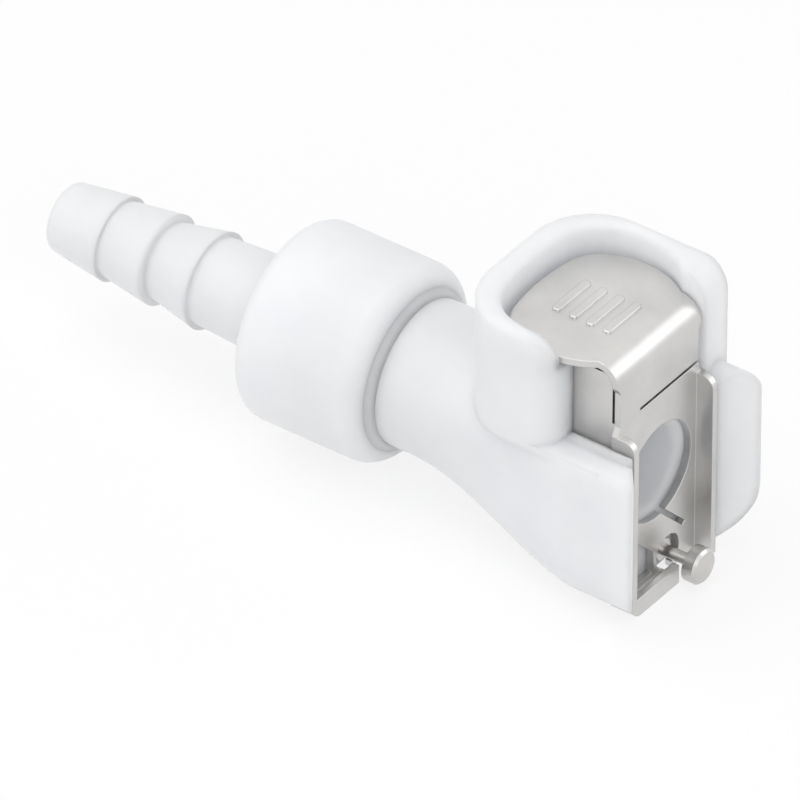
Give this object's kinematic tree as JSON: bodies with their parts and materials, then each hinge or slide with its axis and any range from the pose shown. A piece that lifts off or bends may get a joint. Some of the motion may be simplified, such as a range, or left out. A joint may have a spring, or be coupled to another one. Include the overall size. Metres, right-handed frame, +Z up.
{
  "type": "micro quick coupling body",
  "caption": "White plastic quick-coupling body half with a steel thumb latch, a shut-off valve inside, and a hose barb with a round collar at the rear.",
  "frame": {"origin": "centre of the mouth: on the bore's axis, in the plane of the ears' front edges", "axes": "+X out of the mouth along the bore, +Z up to the thumb pad"},
  "size_m": [0.0397, 0.0114, 0.017],
  "materials": {
    "acetal": "satin white moulding",
    "latch_steel": "rolled stainless sheet, fine grain",
    "pin_steel": "turned stainless",
    "spring_steel": "drawn wire",
    "poppet_acetal": "satin white moulding",
    "seal_rubber": "moulded rubber"
  },
  "bodies": {
    "housing": {"main_body": "acetal", "hose_barb": "acetal", "latch_spring": "spring_steel", "lock_pin_spring": "spring_steel", "valve_spring": "spring_steel"},
    "latch": {"thumb_latch": "latch_steel"},
    "pin": {"lock_pin": "pin_steel"},
    "poppet": {"valve_poppet": "poppet_acetal", "valve_seal": "seal_rubber"}
  },
  "joints": [
    {"name": "latch_slide", "type": "slide", "parent": "housing", "child": "latch", "axis": [0, 0, 1], "range_m": [0, 0.0009], "deforming": ["latch_spring"]},
    {"name": "lock_pin_slide", "type": "slide", "parent": "housing", "child": "pin", "axis": [-1, 0, 0], "range_m": [0, 0.00045], "deforming": ["lock_pin_spring"]},
    {"name": "valve_slide", "type": "slide", "parent": "housing", "child": "poppet", "axis": [-1, 0, 0], "range_m": [0, 0.0016], "stiffness_N_per_m": 300, "springref_m": -0.002, "deforming": ["valve_spring"]}
  ],
  "couplings": [
    {"joint": "lock_pin_slide", "follows": "latch_slide", "ratio": 0.5}
  ]
}
